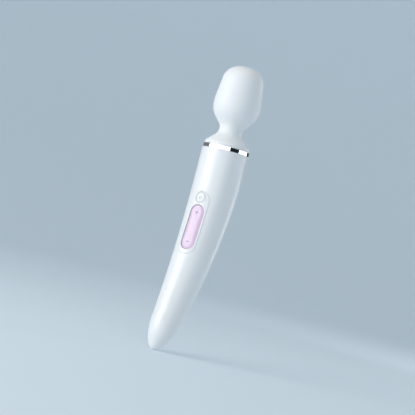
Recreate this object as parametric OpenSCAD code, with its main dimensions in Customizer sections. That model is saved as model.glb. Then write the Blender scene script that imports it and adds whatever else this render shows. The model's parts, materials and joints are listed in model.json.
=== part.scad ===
// Handheld cordless wand massager.
// A curved tapered handle carries a control panel, a chrome trim ring and a two-axis sprung neck.
// The head is a sealed capsule with a motor and an eccentric weight, under a silicone skin.
// Z runs up the axis of the head, the control panel faces -Y, and the origin is at the middle
// of the footprint, level with the lowest point of the handle. All lengths are in millimetres.

/* [Handle] */
// Diameter of the handle at the trim ring
handle_d = 54.7; // [53.5:0.1:56]
// Diameter that the taper would reach at the very tip
tip_d = 27.4; // [25:0.2:31]
// Length of the curved centreline, from the trim ring end to the tip
bend_len = 235.5; // [230:0.5:245]
// Radius of the bend of the centreline
bend_r = 550; // [500:5:800]
// Length of the straight collar between the bend and the trim ring
collar_h = 7.1; // [6:0.1:9]
// Length of the rounded end of the handle
tip_len = 34; // [30:1:38]
// Wall of the two handle shells
shell_wall = 2.4; // [2:0.1:2.6]

/* [Trim ring] */
// Height of the chrome ring
ring_h = 5; // [4:0.1:6]
// Radial thickness of the chrome ring
ring_wall = 2.45; // [2:0.05:2.5]

/* [Head] */
// Largest diameter of the head
head_d = 54.6; // [53:0.2:57]
// Diameter of the neck at its thinnest
neck_d = 27.2; // [26.8:0.1:29]
// Thickness of the silicone skin
skin = 2.6; // [2.4:0.1:2.7]
// Thickness of the capsule wall under the skin
capsule_wall = 2.2; // [1.8:0.1:2.4]

/* [Control panel] */
// Length of the panel bezel
bezel_len = 74; // [73:0.5:76]
// Width of the panel bezel
bezel_w = 22.4; // [22:0.2:24]
// Length of the plus and minus rocker
rocker_len = 52; // [50:0.5:52.5]
// Width of the rocker
rocker_w = 17.3; // [16.5:0.1:17.6]
// Diameter of the round power button
button_d = 12.8; // [12:0.1:13]

/* [Motor] */
// Diameter of the motor can
motor_d = 24.4; // [24:0.1:25]
// Diameter of the motor shaft
shaft_d = 3.2; // [3:0.1:3.4]
// Outer radius of the eccentric weight
weight_r = 12.5; // [11:0.5:13]

/* [Neck joints] */
// Diameter of the two hinge pins of the neck
neck_pin_d = 3; // [2.5:0.1:3.2]
// Radial running clearance of a pin in its eye
pin_fit = 0.05; // [0.03:0.01:0.08]

/* [Hidden] */
$fn = 64;

handle_r = handle_d / 2;
tip_r = tip_d / 2;
gap = 0.05;       // glue line or assembly gap between fixed pieces
far = 60;         // longer than any cut through the handle
taper_power = 1.8;

// ---- Handle outline: radius along the centreline, and the centreline itself ----

function taper_r(s) = handle_r - (handle_r - tip_r) * pow(max(s, 0) / bend_len, taper_power);
function bend_angle(s) = max(s, 0) / bend_r * 180 / PI;

// Height of the start of the bend, so that the lowest point of the rounded end is at zero
dome_start = bend_len - tip_len;
function dome_s(t) = dome_start + tip_len * sin(t);
bend_z = max([for (t = [0:2:90]) (bend_r + taper_r(dome_s(t)) * cos(t)) * sin(bend_angle(dome_s(t)))]);
// The head axis stands behind the middle of the footprint, because the handle bends forward
front_reach = max([for (t = [0:2:90])
    bend_r * (1 - cos(bend_angle(dome_s(t)))) + taper_r(dome_s(t)) * cos(t) * cos(bend_angle(dome_s(t)))]);
axis_y = (front_reach - handle_r) / 2;

// A point at distance s down the centreline, r out from it, phi round from the front
function handle_point(s, r, phi) =
    let (th = bend_angle(s), forward = r * cos(phi))
    [r * sin(phi),
     axis_y - bend_r * (1 - cos(th)) - forward * cos(th),
     bend_z - bend_r * sin(th) + max(-s, 0) + forward * sin(th)];

// Moves straight pieces to distance s down the centreline: local -Y is forward, local Z is up
module at_arc(s) {
    th = bend_angle(s);
    translate([0, axis_y - bend_r * (1 - cos(th)), bend_z - bend_r * sin(th)])
        rotate([-th, 0, 0])
            children();
}

module on_axis() {
    translate([0, axis_y, 0])
        children();
}

// Moves to a place of the panel: x across, depth in from the centreline side, v up the panel
panel_s = 84.4;
module at_panel() {
    at_arc(panel_s)
        children();
}

// A cylinder of the panel frame that points forward, from depth y0 to depth y1 (both forward)
module panel_post(d, y0, y1, x, v) {
    translate([x, -y0, v])
        rotate([90, 0, 0])
            cylinder(d = d, h = y1 - y0);
}

// ---- Heights on the head axis ----

ring_z = bend_z + collar_h;
skin_z = ring_z + ring_h;

// ---- Rounded outlines ----

function unit(v) = v / norm(v);
function left_of(v) = [-v[1], v[0]];
function flat(c) = [c[0], c[1]];

// Corner i of an outline moved inwards by t, with its rounding radius changed to match
function inset_corner(c, i, t) =
    let (d1 = i > 0 ? unit(flat(c[i]) - flat(c[i - 1])) : unit(flat(c[1]) - flat(c[0])),
         d2 = i + 1 < len(c) ? unit(flat(c[i + 1]) - flat(c[i])) : [d1[0], -d1[1]],
         n1 = left_of(d1), n2 = left_of(d2),
         p = flat(c[i]) + t * (n1 + n2) / (1 + n1 * n2),
         turn = d1[0] * d2[1] - d1[1] * d2[0])
    [p[0], p[1], c[i][2] == 0 ? 0 : turn > 0 ? c[i][2] - t : c[i][2] + t];
function inset(c, t) = [for (i = [0:len(c) - 1]) inset_corner(c, i, t)];

// Points of the arc that rounds corner b between a and c
function corner_arc(a, b, c, r) =
    let (d1 = unit(a - b), d2 = unit(c - b),
         half = acos(d1 * d2) / 2,
         centre = b + unit(d1 + d2) * r / sin(half),
         from = b + d1 * r / tan(half) - centre,
         turn = (d1[0] * d2[1] - d1[1] * d2[0]) > 0 ? -1 : 1,
         sweep = 180 - 2 * half,
         n = max(2, 2 * ceil(sweep / 14)))
    [for (k = [0:n]) let (g = turn * sweep * k / n)
        centre + [from[0] * cos(g) - from[1] * sin(g), from[0] * sin(g) + from[1] * cos(g)]];

// An outline from the foot up to the axis: the last corner is mirrored, so that its arc ends level
function rounded(c) =
    let (n = len(c), last = flat(c[n - 1]), before = flat(c[n - 2]))
    concat([flat(c[0])],
        [for (i = [1:n - 2]) each c[i][2] == 0 ? [flat(c[i])]
            : corner_arc(flat(c[i - 1]), flat(c[i]), flat(c[i + 1]), c[i][2])],
        [for (p = corner_arc(before, last, [-before[0], before[1]], c[n - 1][2])) if (p[0] > -0.001)
            [max(p[0], 0), p[1]]]);

function radius_at(path, z) = lookup(z, [for (p = path) [p[1], p[0]]]);
function between(path, z0, z1) = concat([[radius_at(path, z0), z0]],
    [for (p = path) if (p[1] > z0 + 0.02 && p[1] < z1 - 0.02) p],
    [[radius_at(path, z1), z1]]);
function above(path, z0) = concat([[radius_at(path, z0), z0]], [for (p = path) if (p[1] > z0 + 0.02) p]);
function reversed(list) = [for (i = [len(list) - 1:-1:0]) list[i]];

// Outside of the silicone: shoulder, neck and head. Each corner is [radius, height, rounding]
head_r = head_d / 2;
neck_r = neck_d / 2;
skin_corners = [
    [handle_r - 0.7, skin_z, 0],
    [handle_r - 1.5, skin_z + 4, 2.5],
    [neck_r, skin_z + 15.6, 8],
    [neck_r, skin_z + 23.9, 8],
    [head_r, skin_z + 39.6, 24],
    [head_r, skin_z + 54.4, 60],
    [head_r - 5, skin_z + 93.6, 20],
    [0, skin_z + 96.3, 60]];
skin_outer = rounded(skin_corners);
skin_inner = rounded(inset(skin_corners, skin));
capsule_outer = rounded(inset(skin_corners, skin + gap));
capsule_inner = rounded(inset(skin_corners, skin + capsule_wall));

boot_top_z = skin_z + 35.9;     // where the soft neck ends and the rigid part of the head begins
lower_hinge_z = skin_z + 12.9;
upper_hinge_z = skin_z + 28.4;
socket_top_z = skin_z + 6.9;
skirt_z = skin_z + 26.9;        // lower edge of the capsule
floor_z = skin_z + 34.9;        // underside of the capsule floor
floor_top_z = floor_z + 3.5;
split_z = skin_z + 70.4;        // where the capsule base ends
cap_z = split_z + 1;            // where the capsule cap begins

// ---- Polyhedra that follow the handle ----

ring_steps = 20;
body_rows = 18;
dome_rows = 7;

function s_rows(s0, s1, n) = [for (i = [0:n]) s0 + (s1 - s0) * i / n];

// Distance and radius of each row, outside and inside, from the collar down to the last row of the end
outer_rows = concat(
    [for (s = s_rows(-collar_h, dome_start, body_rows)) [s, taper_r(s)]],
    [for (i = [1:dome_rows - 1]) let (t = 90 * i / dome_rows) [dome_s(t), taper_r(dome_s(t)) * cos(t)]]);
hollow_start = dome_start - 2;
hollow_len = tip_len - 8;
function hollow_s(t) = hollow_start + hollow_len * sin(t);
inner_rows = concat(
    [for (s = s_rows(-collar_h, hollow_start, body_rows)) [s, taper_r(s) - shell_wall]],
    [for (i = [1:dome_rows - 1]) let (t = 90 * i / dome_rows)
        [hollow_s(t), (taper_r(hollow_s(t)) - shell_wall) * cos(t)]]);

// Half of the hollow handle, centred on direction mid (0 is the front, 180 the rear)
module half_shell(mid) {
    n = ring_steps;
    m = len(outer_rows);
    function ring(row) = [for (j = [0:n]) handle_point(row[0], row[1], mid - 90 + 180 * j / n)];
    points = concat(
        [for (row = outer_rows) each ring(row)],
        [for (row = inner_rows) each ring(row)],
        [handle_point(bend_len, 0, 0), handle_point(hollow_start + hollow_len, 0, 0)]);
    function outer(i, j) = i * (n + 1) + j;
    function inner(i, j) = (m + i) * (n + 1) + j;
    tip = 2 * m * (n + 1);
    end = tip + 1;
    faces = concat(
        [for (i = [0:m - 2], j = [0:n - 1]) each [
            [outer(i, j), outer(i, j + 1), outer(i + 1, j + 1)],
            [outer(i, j), outer(i + 1, j + 1), outer(i + 1, j)],
            [inner(i, j), inner(i + 1, j + 1), inner(i, j + 1)],
            [inner(i, j), inner(i + 1, j), inner(i + 1, j + 1)]]],
        [for (j = [0:n - 1]) each [
            [outer(m - 1, j), outer(m - 1, j + 1), tip],
            [inner(m - 1, j), end, inner(m - 1, j + 1)],
            [outer(0, j), inner(0, j), outer(0, j + 1)],
            [inner(0, j), inner(0, j + 1), outer(0, j + 1)]]],
        [for (i = [0:m - 2]) each [
            [outer(i, 0), outer(i + 1, 0), inner(i, 0)],
            [outer(i + 1, 0), inner(i + 1, 0), inner(i, 0)],
            [outer(i, n), inner(i, n), outer(i + 1, n)],
            [outer(i + 1, n), inner(i, n), inner(i + 1, n)]]],
        [[outer(m - 1, 0), tip, inner(m - 1, 0)], [tip, end, inner(m - 1, 0)],
         [outer(m - 1, n), inner(m - 1, n), tip], [tip, inner(m - 1, n), end]]);
    polyhedron(points = points, faces = faces, convexity = 8);
}

// Joins rings of equal size into a closed tube with flat ends
module loft(rings) {
    n = len(rings[0]);
    m = len(rings);
    polyhedron(
        points = [for (r = rings) each r],
        faces = concat(
            [for (i = [0:m - 2], j = [0:n - 1]) each [
                [i * n + j, i * n + (j + 1) % n, (i + 1) * n + (j + 1) % n],
                [i * n + j, (i + 1) * n + (j + 1) % n, (i + 1) * n + j]]],
            [[for (j = [n - 1:-1:0]) j], [for (j = [0:n - 1]) (m - 1) * n + j]]),
        convexity = 8);
}

// A curved layer of the handle's front, from outer_off to inner_off above the handle's surface
slab_half = 50;
slab_steps = 16;
slab_rows = 10;
module handle_slab(outer_off, inner_off) {
    function arc_points(s, off) = [for (j = [0:slab_steps])
        handle_point(s, taper_r(s) + off, -slab_half + 2 * slab_half * j / slab_steps)];
    loft([for (s = s_rows(38, 132, slab_rows))
        concat(arc_points(s, outer_off), reversed(arc_points(s, inner_off)))]);
}

// A stadium that stands across the panel, and reaches forward through it
module stadium(length, width, v = 0) {
    translate([0, 0, v]) {
        translate([-width / 2, -far, -(length - width) / 2])
            cube([width, far, length - width]);
        for (side = [-1, 1])
            translate([0, 0, side * (length - width) / 2])
                rotate([90, 0, 0])
                    cylinder(d = width, h = far);
    }
}

// A wire along a few points
module wire(points, d) {
    for (i = [0:len(points) - 2])
        hull() {
            translate(points[i])
                sphere(d = d, $fn = 8);
            translate(points[i + 1])
                sphere(d = d, $fn = 8);
        }
}

// ---- Control panel layout: depths count forward from the centreline of the handle ----

panel_gap = 0.3;
bezel_rise = 0.25;
rocker_sink = 0.9;
rocker_v = -5.5;
button_v = 29;
button_fit = 0.3;
board_face = 14.2;      // front of the control board
board_t = 1.2;
board_w = 27;
board_len = 84;
mat_t = 1;
dome_top = 18;          // top of the rubber domes, where the keys rest
dome_d = 7;
plunger_v = 20;         // distance of each rocker plunger from the rocker pin
rocker_pin_d = 1.6;
rocker_pin_y = 20.4;
rocker_pin_len = 20.8;
flange_top = 20.9;
key_places = [button_v, rocker_v + plunger_v, rocker_v - plunger_v];

// ---- Handle shells and seals ----

cell_upper_s = 72.5;
cell_lower_s = 145.5;
cell_d = 18.4;
cell_len = 65;
cell_upper_back = 3.5;
// Cradle screws: distance down the handle, front face and back face of the cradle there
boss_places = [[34, 14.2, 16.9], [109, 10.4, 16.4]];
boss_d = 6;
boss_hole = 5.6;
screw_d = 2.5;
port_s = 188;
port_tilt = 5.2;
port_len = 24;
port_w = 12;
port_face = taper_r(port_s) - 1.3;   // height of the flat charging face above the centreline
port_seat = 1.8;

module at_port() {
    at_arc(port_s)
        rotate([-port_tilt, 0, 0])
            children();
}

// A cylinder that points to the rear at distance s down the handle, from height y0 to y1
module rear_post(s, d, y0, y1) {
    at_arc(s)
        translate([0, y0, 0])
            rotate([-90, 0, 0])
                cylinder(d = d, h = y1 - y0);
}

module port_block(length, width, from, to) {
    translate([-width / 2, from, -length / 2])
        cube([width, to - from, length]);
}

module front_shell() {
    color("white")
        difference() {
            half_shell(0);
            at_panel()
                stadium(bezel_len + 2 * gap, bezel_w + 2 * gap);
        }
}

module rear_shell() {
    color("white")
        difference() {
            union() {
                half_shell(180);
                for (place = boss_places)
                    rear_post(place[0], boss_d, place[2] + gap, taper_r(place[0]) - shell_wall + 1);
            }
            for (place = boss_places)
                rear_post(place[0], screw_d - 0.4, place[2] - 1, place[2] + boss_hole);
            at_port()
                port_block(port_len, port_w, port_face - port_seat, far);
            at_port()
                port_block(port_len - 5, port_w - 3, port_face - 7, far);
        }
}

// Sealing beads along both seams, inside the shells
bead_w = 1;
bead_h = 3;
module seam_seal() {
    color("lightgray")
        for (side = [-1, 1])
            loft([for (s = s_rows(12, 190, 16))
                let (out = taper_r(s) - shell_wall - 0.15,
                     in = out - bead_w,
                     step = asin(bead_h / 2 / out),
                     low = 90 * side - step,
                     high = 90 * side + step)
                [handle_point(s, out, low), handle_point(s, out, high),
                 handle_point(s, in, high), handle_point(s, in, low)]]);
}

module trim_ring() {
    edge = 0.5;
    color("silver")
        on_axis()
            rotate_extrude()
                polygon([[handle_r - ring_wall, ring_z], [handle_r - edge, ring_z],
                    [handle_r, ring_z + edge], [handle_r, skin_z - edge],
                    [handle_r - edge, skin_z], [handle_r - ring_wall, skin_z]]);
}

// ---- Neck ----

spigot_r = handle_r - shell_wall - 0.2;
spigot_z = bend_z - 7;
seal_z = bend_z;
seal_section = 0.66;
ear_in = 4;
ear_out = 7;
ear_r = 4;
lead_x = 5.3;
lead_y = 5.3;

module neck_socket() {
    floor_t = 3;
    color("whitesmoke")
        on_axis()
            difference() {
                union() {
                    rotate_extrude()
                        polygon(concat(
                            [[spigot_r - 2.3, spigot_z], [spigot_r, spigot_z],
                             [spigot_r, skin_z - gap], [radius_at(capsule_outer, skin_z), skin_z - gap]],
                            [for (p = between(capsule_outer, skin_z + 0.5, socket_top_z)) p],
                            [[0, socket_top_z], [0, socket_top_z - floor_t],
                             [spigot_r - 6.5, socket_top_z - floor_t], [spigot_r - 2.3, socket_top_z - 8]]));
                    for (side = [-1, 1])
                        translate([side > 0 ? ear_in : -ear_out, 0, 0]) {
                            translate([0, -ear_r, socket_top_z - 1])
                                cube([ear_out - ear_in, 2 * ear_r, lower_hinge_z - socket_top_z + 1]);
                            translate([0, 0, lower_hinge_z])
                                rotate([0, 90, 0])
                                    cylinder(r = ear_r, h = ear_out - ear_in);
                        }
                }
                translate([-far / 2, 0, lower_hinge_z])
                    rotate([0, 90, 0])
                        cylinder(d = neck_pin_d, h = far);
                for (side = [-1, 1])
                    translate([side * lead_x, lead_y, socket_top_z - 6])
                        cylinder(d = 2.4, h = 12);
                translate([0, 0, seal_z])
                    rotate_extrude()
                        translate([spigot_r - 1.35, -1])
                            square([3, 2]);
            }
}

module collar_seal() {
    color("dimgray")
        on_axis()
            translate([0, 0, seal_z])
                rotate_extrude()
                    translate([spigot_r - seal_section - 0.01, 0])
                        circle(r = seal_section);
}

module lower_neck_pin() {
    color("silver")
        on_axis()
            translate([-ear_out, 0, lower_hinge_z])
                rotate([0, 90, 0])
                    cylinder(d = neck_pin_d, h = 2 * ear_out);
}

module upper_neck_pin() {
    color("silver")
        on_axis()
            translate([0, ear_out, upper_hinge_z])
                rotate([90, 0, 0])
                    cylinder(d = neck_pin_d, h = 2 * ear_out);
}

// Coil spring round the hinges, which brings the head back upright
spring_wire = 1.6;
spring_r = 9.4;
spring_turns = 5;
module neck_spring() {
    low = socket_top_z + spring_wire / 2 + 0.2;
    high = floor_z - spring_wire / 2 - 0.2;
    steps = 15 * spring_turns;
    color("silver")
        on_axis()
            loft([for (i = [0:steps])
                let (turn = 360 * spring_turns * i / steps, z = low + (high - low) * i / steps)
                [for (j = [0:7]) let (g = 45 * j, r = spring_r + spring_wire / 2 * cos(g))
                    [r * cos(turn), r * sin(turn), z - spring_wire / 2 * sin(g)]]]);
}

module neck_boot() {
    color("white")
        on_axis()
            rotate_extrude()
                polygon(concat(between(skin_outer, skin_z, boot_top_z),
                    reversed(between(skin_inner, skin_z, boot_top_z))));
}

// Middle piece of the neck: one eye for each hinge pin, at right angles to each other
module neck_link() {
    eye_r = 3.8;
    half = 3.5;
    color("darkgray")
        on_axis()
            difference() {
                union() {
                    translate([-ear_in + 0.3, 0, lower_hinge_z])
                        rotate([0, 90, 0])
                            cylinder(r = eye_r, h = 2 * ear_in - 0.6);
                    translate([0, ear_in - 0.1, upper_hinge_z])
                        rotate([90, 0, 0])
                            cylinder(r = eye_r, h = 2 * ear_in - 0.2);
                    translate([-half, -half, lower_hinge_z])
                        cube([2 * half, 2 * half, upper_hinge_z - lower_hinge_z]);
                }
                translate([-far / 2, 0, lower_hinge_z])
                    rotate([0, 90, 0])
                        cylinder(d = neck_pin_d + 2 * pin_fit, h = far);
                translate([0, far / 2, upper_hinge_z])
                    rotate([90, 0, 0])
                        cylinder(d = neck_pin_d + 2 * pin_fit, h = far);
            }
}

// ---- Control panel ----

// The part of a panel solid that lies in one curved layer of the handle's front
module panel_layer(outer_off, inner_off) {
    intersection() {
        handle_slab(outer_off, inner_off);
        at_panel()
            children();
    }
}

// A hole across the panel for the pin of the rocker
module rocker_pin_hole(d, length) {
    translate([-length / 2, -rocker_pin_y, rocker_v])
        rotate([0, 90, 0])
            cylinder(d = d, h = length);
}

module panel_bezel() {
    flange_over = 2;
    depth = 6.8;
    back_y = 16.4;
    color("white")
        difference() {
            union() {
                panel_layer(bezel_rise, -depth)
                    stadium(bezel_len, bezel_w);
                panel_layer(-shell_wall - 0.1, -shell_wall - 1.3)
                    stadium(bezel_len + 2 * flange_over, bezel_w + 2 * flange_over);
            }
            at_panel() {
                translate([-far / 2, -back_y, -far])
                    cube([far, far, 2 * far]);
                stadium(rocker_len + 2 * panel_gap, rocker_w + 2 * panel_gap, rocker_v);
                panel_post(button_d + 2 * button_fit, 0, far, 0, button_v);
                panel_post(button_d + 3.6, 0, flange_top + 0.6, 0, button_v);
                rocker_pin_hole(rocker_pin_d, rocker_pin_len);
            }
        }
}

module power_button() {
    color("white") {
        panel_layer(-0.1, -taper_r(panel_s) + flange_top - 1)
            panel_post(button_d, flange_top - 0.3, far, 0, button_v);
        at_panel() {
            panel_post(button_d + 2.4, flange_top - 1.3, flange_top, 0, button_v);
            panel_post(6, dome_top, flange_top - 1, 0, button_v);
        }
    }
}

module intensity_rocker() {
    plate_t = 2.1;
    boss_len = rocker_w - 0.8;
    root_y = 22.6;
    root_step = 0.8;
    boss_h = 4.4;
    color("plum")
        difference() {
            union() {
                panel_layer(-rocker_sink, -rocker_sink - plate_t)
                    stadium(rocker_len, rocker_w, rocker_v);
                at_panel() {
                    for (side = [-1, 1])
                        panel_post(5, dome_top, root_y + side * root_step, 0, rocker_v + side * plunger_v);
                    translate([-boss_len / 2, -root_y, rocker_v - boss_h / 2])
                        cube([boss_len, root_y - rocker_pin_y + 1.8, boss_h]);
                }
            }
            at_panel()
                rocker_pin_hole(rocker_pin_d + 2 * pin_fit, far);
        }
}

module rocker_pin() {
    color("silver")
        at_panel()
            rocker_pin_hole(rocker_pin_d, rocker_pin_len);
}

// Rubber mat with a hollow dome under the button and under each end of the rocker
module key_mat() {
    mat_w = 20;
    mat_len = 70;
    color("gainsboro")
        at_panel()
            difference() {
                union() {
                    translate([-mat_w / 2, -board_face - mat_t, -mat_len / 2])
                        cube([mat_w, mat_t, mat_len]);
                    for (v = key_places)
                        panel_post(dome_d, board_face, dome_top, 0, v);
                }
                for (v = key_places)
                    panel_post(dome_d - 1.4, board_face - 1, dome_top - 1.5, 0, v);
            }
}

pill_d = 3.2;
pill_end = board_face + 0.8;
module contact_pill(v) {
    at_panel()
        panel_post(pill_d, pill_end, dome_top - 1.5, 0, v);
}

module power_contact() {
    color("black")
        contact_pill(button_v);
}

module rocker_contacts() {
    color("black")
        for (side = [-1, 1])
            contact_pill(rocker_v + side * plunger_v);
}

// ---- Electronics ----

module board_plate(x, v, w, l, y, t) {
    translate([x - w / 2, -y - t, v - l / 2])
        cube([w, t, l]);
}

board_v = -1;
board_screw_d = 2;
screw_x = 11.6;
screw_v = 38;
screw_places = [for (x = [-screw_x, screw_x], v = [-screw_v, screw_v]) [x, board_v + v]];

module control_board() {
    color("darkgreen")
        at_panel()
            difference() {
                board_plate(0, board_v, board_w, board_len, board_face - board_t, board_t);
                for (p = screw_places)
                    panel_post(2.3, 0, far, p[0], p[1]);
            }
}

// Controller, driver, coil and the two wire connectors, on the back of the board
module board_parts() {
    back = board_face - board_t;
    color("black")
        at_panel() {
            board_plate(0, 12, 7, 7, back - 1, 1);
            board_plate(-6, -2, 5, 6, back - 1.5, 1.5);
            board_plate(6, -2, 4, 4, back - 1, 1);
            panel_post(6, back - 3, back, 0, -13);
            for (v = [-30, 30])
                board_plate(0, v, 8, 5, back - 3, 3);
            for (i = [-2:2])
                board_plate(4 * i, 22, 1.2, 2, back - 0.6, 0.6);
        }
}

module contact_pads() {
    color("gold")
        at_panel()
            for (v = key_places, side = [-1, 1])
                translate([side > 0 ? 0.2 : -1.7, -board_face - 0.1, v - 1.5])
                    cube([1.5, 0.1, 3]);
}

module indicator_led() {
    color("lightblue")
        at_panel()
            board_plate(5.6, 37.5, 1.6, 0.8, board_face, 0.7);
}

module board_screws() {
    color("silver")
        at_panel()
            for (p = screw_places) {
                panel_post(4, board_face, board_face + 1.2, p[0], p[1]);
                panel_post(board_screw_d, board_face - 6, board_face, p[0], p[1]);
            }
}

// ---- Battery ----

module cell(s, back) {
    at_arc(s)
        translate([0, back, -cell_len / 2])
            cylinder(d = cell_d, h = cell_len);
}

module battery_cell_upper() {
    color("steelblue")
        cell(cell_upper_s, cell_upper_back);
}

module battery_cell_lower() {
    color("steelblue")
        cell(cell_lower_s, 0);
}

tray_wall = 1.7;
tray_r = cell_d / 2 + 0.2;
module tray(s, back) {
    length = cell_len - 6;
    at_arc(s)
        translate([0, back, -length / 2])
            difference() {
                cylinder(r = tray_r + tray_wall, h = length);
                translate([0, 0, -1])
                    cylinder(r = tray_r, h = length + 2);
                translate([-far / 2, -far, -1])
                    cube([far, far, length + 2]);
            }
}

// Rear trays for both cells, one spine that is screwed to the rear shell, and the board posts
module battery_cradle() {
    spine_w = 8;
    spine_t = 2;
    upper_spine = [-41, 41];    // lower and upper end of each spine, from the middle of its cell
    lower_spine = [-29, 32];
    block_w = 10;
    block_foot = -9;
    block_h = 12.5;
    post_foot = 5;
    post_w = 3.8;
    board_back = board_face - board_t;
    color("slategray")
        difference() {
            union() {
                tray(cell_upper_s, cell_upper_back);
                tray(cell_lower_s, 0);
                at_arc(cell_upper_s)
                    translate([-spine_w / 2, cell_upper_back + tray_r + 0.1, upper_spine[0]])
                        cube([spine_w, spine_t, upper_spine[1] - upper_spine[0]]);
                at_arc(cell_lower_s)
                    translate([-spine_w / 2, tray_r + 0.1, lower_spine[0]])
                        cube([spine_w, spine_t, lower_spine[1] - lower_spine[0]]);
                for (place = boss_places)
                    at_arc(place[0])
                        translate([-block_w / 2, place[1], block_foot])
                            cube([block_w, place[2] - place[1], block_h]);
                at_panel()
                    for (p = screw_places)
                        board_plate(p[0], p[1], post_w, post_w, -post_foot, post_foot + board_back - gap);
            }
            for (p = screw_places)
                at_panel()
                    panel_post(board_screw_d, board_face - 7.5, board_face, p[0], p[1]);
            for (place = boss_places)
                rear_post(place[0], screw_d + 0.3, place[1] - 1, place[2] + 2);
        }
}

module cradle_screws() {
    color("silver")
        for (place = boss_places) {
            rear_post(place[0], 4.6, place[1] - 1.2, place[1]);
            rear_post(place[0], screw_d - 0.4, place[1] - 0.1, place[2] + boss_hole - 0.3);
        }
}

module battery_tabs() {
    strip_w = 6;
    color("lightgray") {
        at_arc(cell_upper_s)
            for (side = [-1, 1])
                translate([-strip_w / 2, cell_upper_back - 6, side * (cell_len / 2 + 0.1) - 0.1])
                    cube([strip_w, 8, 0.2]);
        at_arc(cell_lower_s)
            for (side = [-1, 1])
                translate([-strip_w / 2, -6, side * (cell_len / 2 + 0.1) - 0.1])
                    cube([strip_w, 8, 0.2]);
    }
}

module battery_pads() {
    pad_d = 8;
    color("darkslategray") {
        at_arc(cell_upper_s)
            translate([0, cell_upper_back, cell_len / 2 + 0.3])
                cylinder(d = pad_d, h = 1.5);
        at_arc(cell_lower_s)
            translate([0, 0, -cell_len / 2 - 1.8])
                cylinder(d = pad_d, h = 1.5);
    }
}

// Places in front of the cells, given as distance down the handle, sideways and forward
function inner_place(s, x, forward) = handle_point(s, 0, 0) + [x, 0, 0]
    + forward * [0, -cos(bend_angle(s)), sin(bend_angle(s))];

module battery_leads() {
    color("red")
        wire([inner_place(38.9, 2, 2.2), inner_place(37.5, 3, 4), inner_place(44, 3, 8.4),
              inner_place(50.3, 2, 10.9)], 1.3);
    color("black")
        wire([inner_place(179.5, -2, 5.2), inner_place(179.5, -3, 10.2), inner_place(150, -3, 10.1),
              inner_place(124, -3, 10.1), inner_place(118.8, -2, 10.1)], 1.3);
    color("gray")
        wire([inner_place(106, 0, 2.4), inner_place(109, 0, 5.5), inner_place(112, 0, 5.5)], 1.3);
}

// ---- Charging contacts, on the back near the end ----

pin_z = 6;
module charge_plate() {
    color("white")
        at_port()
            difference() {
                port_block(port_len - 2 * gap, port_w - 2 * gap, port_face - port_seat, port_face);
                for (side = [-1, 1])
                    translate([0, port_face - 4, side * pin_z])
                        rotate([-90, 0, 0])
                            cylinder(d = 3, h = 6);
            }
}

module charge_pins() {
    color("gold")
        at_port()
            for (side = [-1, 1])
                translate([0, port_face - 3.4, side * pin_z])
                    rotate([-90, 0, 0]) {
                        cylinder(d = 3, h = 3.3);
                        cylinder(d = 4, h = 1.5);
                    }
}

module charge_magnets() {
    color("silver")
        at_port()
            translate([0, port_face - port_seat - 1.5, 0])
                rotate([-90, 0, 0])
                    cylinder(d = 5, h = 1.45);
}

module charge_board() {
    color("darkgreen")
        at_port()
            port_block(port_len - 6, port_w - 4, port_face - 4.4, port_face - 3.4);
}

module charge_leads() {
    color("red")
        for (side = [-1, 1])
            wire([inner_place(186, 1.6 * side, -11), inner_place(182.5, 1.6 * side, -4),
                  inner_place(181.5, 6 * side, 4), inner_place(176, 9.5 * side, 8.5),
                  inner_place(140, 9.5 * side, 8.5), inner_place(118.8, 3.6 * side, 10.1)], 1.1);
}

module motor_leads() {
    top = floor_top_z + 0.85;
    color("red")
        on_axis()
            for (side = [-1, 1])
                wire([[side * lead_x, lead_y, top], [side * lead_x, lead_y, spigot_z],
                      [side * 3, -7, spigot_z - 14], [side * 3, -9, spigot_z - 30]], 1.2);
}

// ---- Head: capsule ----

capsule_screw_r = 17.2;
capsule_boss_d = 5.6;
boss_foot_z = split_z - 15.5;
plate_z = split_z - 2.5;
plate_t = 2;
screw_seat_z = plate_z + plate_t + 8;

module three_times(r) {
    for (a = [30, 150, 270])
        rotate([0, 0, a])
            translate([r, 0, 0])
                children();
}

// Three screw bosses from z0 to z1. Each has a rib from rib_z up, out to radius reach in the wall
module screw_bosses(z0, rib_z, z1, reach) {
    three_times(capsule_screw_r) {
        translate([0, 0, z0])
            cylinder(d = capsule_boss_d, h = z1 - z0);
        translate([0, -1.2, rib_z])
            cube([reach - capsule_screw_r, 2.4, z1 - rib_z]);
    }
}

module head_cover() {
    color("white")
        on_axis()
            rotate_extrude()
                polygon(concat(above(skin_outer, boot_top_z), reversed(above(skin_inner, boot_top_z))));
}

module capsule_base() {
    skirt_r = 11.4;
    color("whitesmoke")
        on_axis()
            difference() {
                union() {
                    rotate_extrude()
                        polygon(concat(
                            [[0, floor_z], [skirt_r, floor_z], [skirt_r, skirt_z]],
                            between(capsule_outer, skirt_z, split_z),
                            reversed(between(capsule_inner, floor_top_z + 3.5, split_z)),
                            [[17.5, floor_top_z], [0, floor_top_z]]));
                    screw_bosses(boss_foot_z, boss_foot_z, plate_z, 21.6);
                    for (side = [-1, 1])
                        translate([0, side > 0 ? ear_out : -ear_in - 0.2, 0]) {
                            translate([-ear_r, -ear_out + ear_in + 0.2, upper_hinge_z])
                                cube([2 * ear_r, ear_out - ear_in - 0.2, floor_z - upper_hinge_z + 1]);
                            translate([0, 0, upper_hinge_z])
                                rotate([90, 0, 0])
                                    cylinder(r = ear_r, h = ear_out - ear_in - 0.2);
                        }
                }
                translate([0, ear_out + 1, upper_hinge_z])
                    rotate([90, 0, 0])
                        cylinder(d = neck_pin_d, h = 2 * ear_out + 2);
                for (side = [-1, 1])
                    translate([side * lead_x, lead_y, floor_z - 1])
                        cylinder(d = 2.4, h = 6);
                three_times(capsule_screw_r)
                    translate([0, 0, boss_foot_z + 2])
                        cylinder(d = screw_d - 0.4, h = far);
            }
}

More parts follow.
